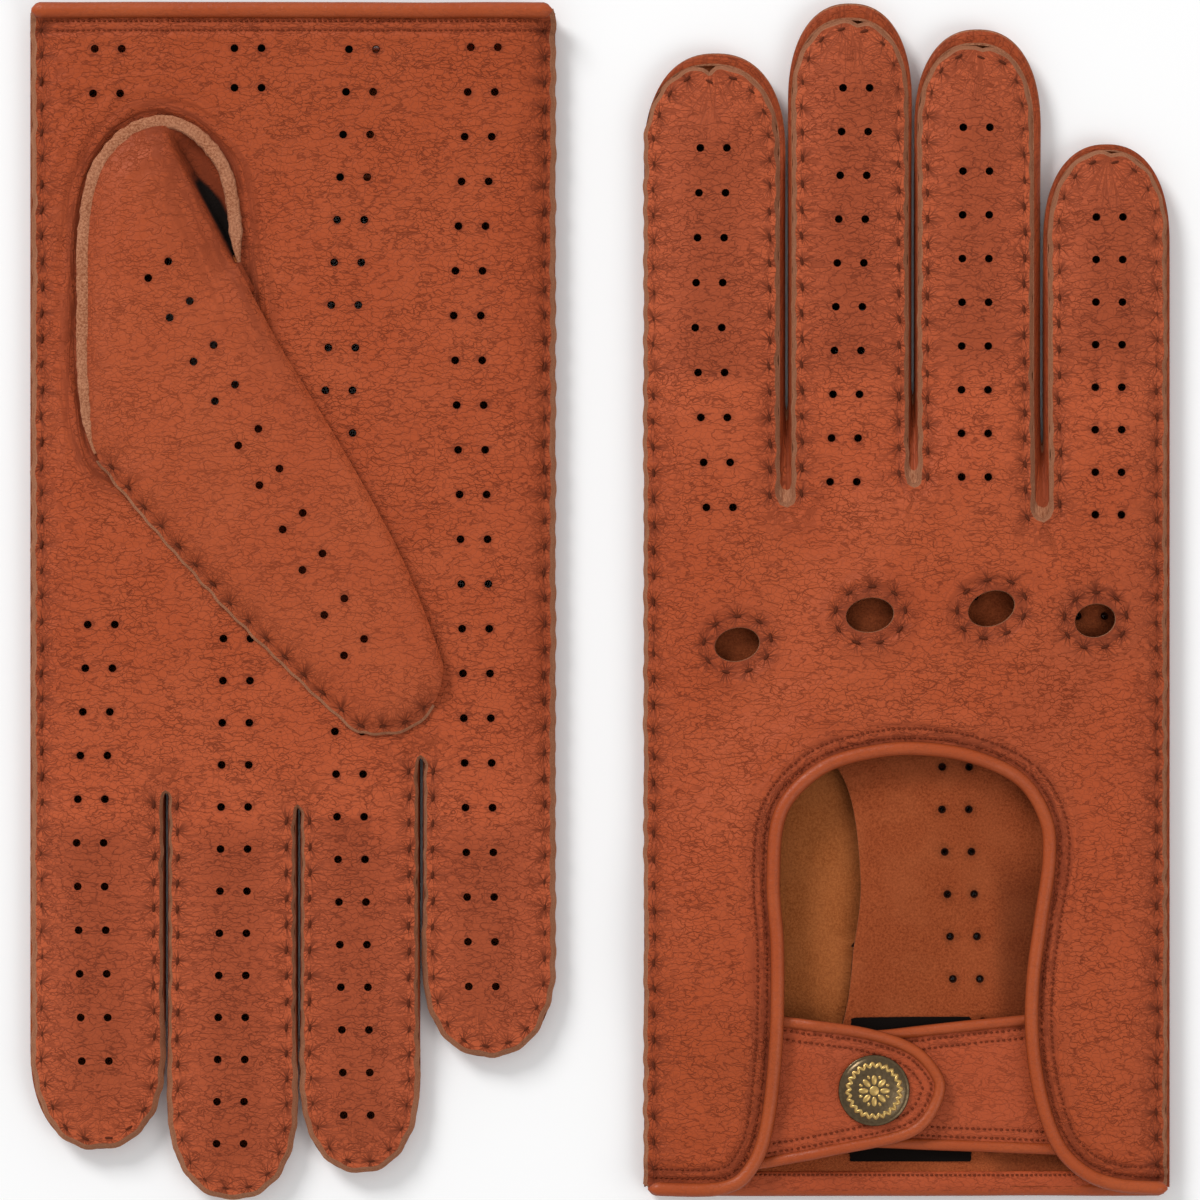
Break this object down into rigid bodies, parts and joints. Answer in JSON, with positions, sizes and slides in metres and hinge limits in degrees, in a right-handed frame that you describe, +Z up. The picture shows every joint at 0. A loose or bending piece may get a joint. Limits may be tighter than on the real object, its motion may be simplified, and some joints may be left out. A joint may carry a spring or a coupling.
{
  "type": "pair of leather driving gloves",
  "caption": "Pair of unlined hand-sewn leather driving gloves lying flat, with perforated fingers, knuckle holes, an open piped back and a snap strap at the wrist.",
  "frame": {"origin": "middle of the pair on the table top, at the bottom centre of the whole bounding box", "axes": "+Z up from the table; +Y towards the fingertips of the back-up glove and the cuff of the palm-up glove; +X from the palm-up glove to the back-up glove"},
  "size_m": [0.2282, 0.239, 0.0106],
  "materials": {
    "leather_hand": "cognac pebbled grain, semi-matt",
    "leather_thumb": "cognac pebbled grain, slightly lighter",
    "leather_piping": "smooth rolled edge",
    "suede": "raw suede flesh side",
    "raw_edge": "cut raw edge",
    "antique_bronze": "dark antique bronze with a raised gilt rosette",
    "brass": "plain pressed brass",
    "label_cloth": "woven black ribbon, blank"
  },
  "bodies": {
    "palm_up_hand": {"palm_up_palm_panel": "leather_hand", "palm_up_back_panel": "leather_hand", "palm_up_finger_gussets": "suede", "palm_up_thumb_base": "leather_thumb", "palm_up_thumb_welt": "raw_edge", "palm_up_cuff_binding": "leather_piping", "palm_up_opening_piping": "leather_piping", "palm_up_size_label": "label_cloth"},
    "palm_up_index": {"palm_up_index_front": "leather_hand", "palm_up_index_back": "leather_hand", "palm_up_index_fourchette": "suede"},
    "palm_up_middle": {"palm_up_middle_front": "leather_hand", "palm_up_middle_back": "leather_hand", "palm_up_middle_fourchettes": "suede"},
    "palm_up_ring": {"palm_up_ring_front": "leather_hand", "palm_up_ring_back": "leather_hand", "palm_up_ring_fourchettes": "suede"},
    "palm_up_little": {"palm_up_little_front": "leather_hand", "palm_up_little_back": "leather_hand", "palm_up_little_fourchette": "suede"},
    "palm_up_thumb": {"palm_up_thumb": "leather_thumb"},
    "palm_up_strap": {"palm_up_strap": "leather_hand", "palm_up_strap_binding": "leather_piping", "palm_up_snap_cap": "antique_bronze", "palm_up_snap_socket": "brass"},
    "palm_up_tab": {"palm_up_tab": "leather_hand", "palm_up_tab_binding": "leather_piping", "palm_up_snap_stud": "brass", "palm_up_snap_post": "brass"},
    "back_up_hand": {"back_up_palm_panel": "leather_hand", "back_up_back_panel": "leather_hand", "back_up_finger_gussets": "suede", "back_up_thumb_base": "leather_thumb", "back_up_thumb_welt": "raw_edge", "back_up_cuff_binding": "leather_piping", "back_up_opening_piping": "leather_piping", "back_up_size_label": "label_cloth"},
    "back_up_index": {"back_up_index_front": "leather_hand", "back_up_index_back": "leather_hand", "back_up_index_fourchette": "suede"},
    "back_up_middle": {"back_up_middle_front": "leather_hand", "back_up_middle_back": "leather_hand", "back_up_middle_fourchettes": "suede"},
    "back_up_ring": {"back_up_ring_front": "leather_hand", "back_up_ring_back": "leather_hand", "back_up_ring_fourchettes": "suede"},
    "back_up_little": {"back_up_little_front": "leather_hand", "back_up_little_back": "leather_hand", "back_up_little_fourchette": "suede"},
    "back_up_thumb": {"back_up_thumb": "leather_thumb"},
    "back_up_strap": {"back_up_strap": "leather_hand", "back_up_strap_binding": "leather_piping", "back_up_snap_cap": "antique_bronze", "back_up_snap_socket": "brass"},
    "back_up_tab": {"back_up_tab": "leather_hand", "back_up_tab_binding": "leather_piping", "back_up_snap_stud": "brass", "back_up_snap_post": "brass"}
  },
  "joints": [
    {"name": "palm_up_index_curl", "type": "hinge", "parent": "palm_up_hand", "child": "palm_up_index", "pos_m": [-0.1007, -0.0393, 0.007], "axis": [-1, 0, 0], "range_deg": [0, 90]},
    {"name": "palm_up_middle_curl", "type": "hinge", "parent": "palm_up_hand", "child": "palm_up_middle", "pos_m": [-0.07355, -0.0425, 0.007], "axis": [-1, 0, 0], "range_deg": [0, 90]},
    {"name": "palm_up_ring_curl", "type": "hinge", "parent": "palm_up_hand", "child": "palm_up_ring", "pos_m": [-0.04805, -0.0425, 0.007], "axis": [-1, 0, 0], "range_deg": [0, 90]},
    {"name": "palm_up_little_curl", "type": "hinge", "parent": "palm_up_hand", "child": "palm_up_little", "pos_m": [-0.0222, -0.0325, 0.007], "axis": [-1, 0, 0], "range_deg": [0, 90]},
    {"name": "palm_up_thumb_swing", "type": "hinge", "parent": "palm_up_hand", "child": "palm_up_thumb", "pos_m": [-0.0864, 0.0484, 0.0106], "axis": [-0.5556, -0.8314, 0], "range_deg": [0, 80]},
    {"name": "palm_up_strap_open", "type": "hinge", "parent": "palm_up_hand", "child": "palm_up_strap", "pos_m": [-0.0856, 0.098, 0.0011], "axis": [0, 1, 0], "range_deg": [0, 110]},
    {"name": "palm_up_tab_open", "type": "hinge", "parent": "palm_up_hand", "child": "palm_up_tab", "pos_m": [-0.0386, 0.098, 0.0038], "axis": [0, -1, 0], "range_deg": [0, 28]},
    {"name": "back_up_lift", "type": "slide", "parent": "palm_up_hand", "child": "back_up_hand", "axis": [0, 0, 1], "range_m": [0, 0.12]},
    {"name": "back_up_index_fold", "type": "hinge", "parent": "back_up_hand", "child": "back_up_index", "pos_m": [0.023, 0.0393, 0.0106], "axis": [1, 0, 0], "range_deg": [0, 60]},
    {"name": "back_up_middle_fold", "type": "hinge", "parent": "back_up_hand", "child": "back_up_middle", "pos_m": [0.05005, 0.0425, 0.0106], "axis": [1, 0, 0], "range_deg": [0, 60]},
    {"name": "back_up_ring_fold", "type": "hinge", "parent": "back_up_hand", "child": "back_up_ring", "pos_m": [0.0756, 0.0425, 0.0106], "axis": [1, 0, 0], "range_deg": [0, 60]},
    {"name": "back_up_little_fold", "type": "hinge", "parent": "back_up_hand", "child": "back_up_little", "pos_m": [0.10155, 0.0325, 0.0106], "axis": [1, 0, 0], "range_deg": [0, 60]},
    {"name": "back_up_thumb_swing", "type": "hinge", "parent": "back_up_hand", "child": "back_up_thumb", "pos_m": [0.0368, -0.0484, 0], "axis": [-0.5556, 0.8314, 0], "range_deg": [0, 80]},
    {"name": "back_up_strap_open", "type": "hinge", "parent": "back_up_hand", "child": "back_up_strap", "pos_m": [0.0376, -0.098, 0.0095], "axis": [0, -1, 0], "range_deg": [0, 110]},
    {"name": "back_up_tab_open", "type": "hinge", "parent": "back_up_hand", "child": "back_up_tab", "pos_m": [0.0846, -0.098, 0.0068], "axis": [0, 1, 0], "range_deg": [0, 28]}
  ],
  "couplings": [
    {"joint": "palm_up_tab_open", "follows": "palm_up_strap_open", "ratio": 0.25},
    {"joint": "back_up_thumb_swing", "follows": "back_up_lift", "rad_per_m": 11.6},
    {"joint": "back_up_tab_open", "follows": "back_up_strap_open", "ratio": 0.25}
  ]
}
